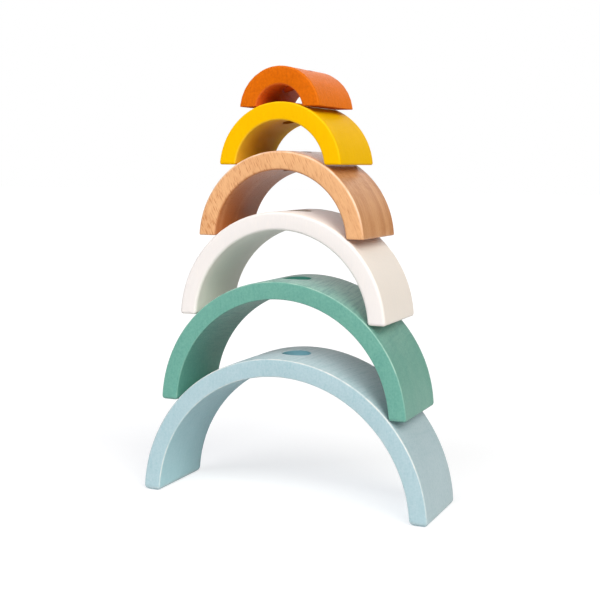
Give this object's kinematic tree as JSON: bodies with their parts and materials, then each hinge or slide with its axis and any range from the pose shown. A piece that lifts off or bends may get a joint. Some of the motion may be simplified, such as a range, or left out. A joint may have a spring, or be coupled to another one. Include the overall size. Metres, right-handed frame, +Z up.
{
  "type": "stacking arch tower",
  "caption": "Tower of loose wooden rainbow arches of falling size, each standing astride the round back of the one below, with a round hole down through every crown.",
  "frame": {"origin": "on the surface that the tower stands on, midway between the widest arch's feet and midway along its depth", "axes": "+Z up the tower, X across the arches' span, Y along their depth, through the archways"},
  "size_m": [0.1498, 0.0426, 0.2092],
  "materials": {
    "blue_stain": "satin pale blue stain, grain showing through",
    "green_stain": "satin sea green stain, grain showing through",
    "white_stain": "satin off-white stain",
    "bare_beech": "clear satin finish on bare beech",
    "yellow_stain": "satin yellow stain",
    "orange_stain": "satin orange stain"
  },
  "bodies": {
    "blue": {"arch_blue": "blue_stain"},
    "green": {"arch_green": "green_stain"},
    "white": {"arch_white": "white_stain"},
    "natural": {"arch_natural": "bare_beech"},
    "yellow": {"arch_yellow": "yellow_stain"},
    "orange": {"arch_orange": "orange_stain"}
  },
  "joints": [
    {"name": "green_lift", "type": "slide", "parent": "blue", "child": "green", "axis": [0, 0, 1], "range_m": [0, 0.0305]},
    {"name": "white_lift", "type": "slide", "parent": "green", "child": "white", "axis": [0, 0, 1], "range_m": [0, 0.024]},
    {"name": "natural_lift", "type": "slide", "parent": "white", "child": "natural", "axis": [0, 0, 1], "range_m": [0, 0.018]},
    {"name": "yellow_lift", "type": "slide", "parent": "natural", "child": "yellow", "axis": [0, 0, 1], "range_m": [0, 0.0125]},
    {"name": "orange_lift", "type": "slide", "parent": "yellow", "child": "orange", "axis": [0, 0, 1], "range_m": [0, 0.0085]}
  ]
}
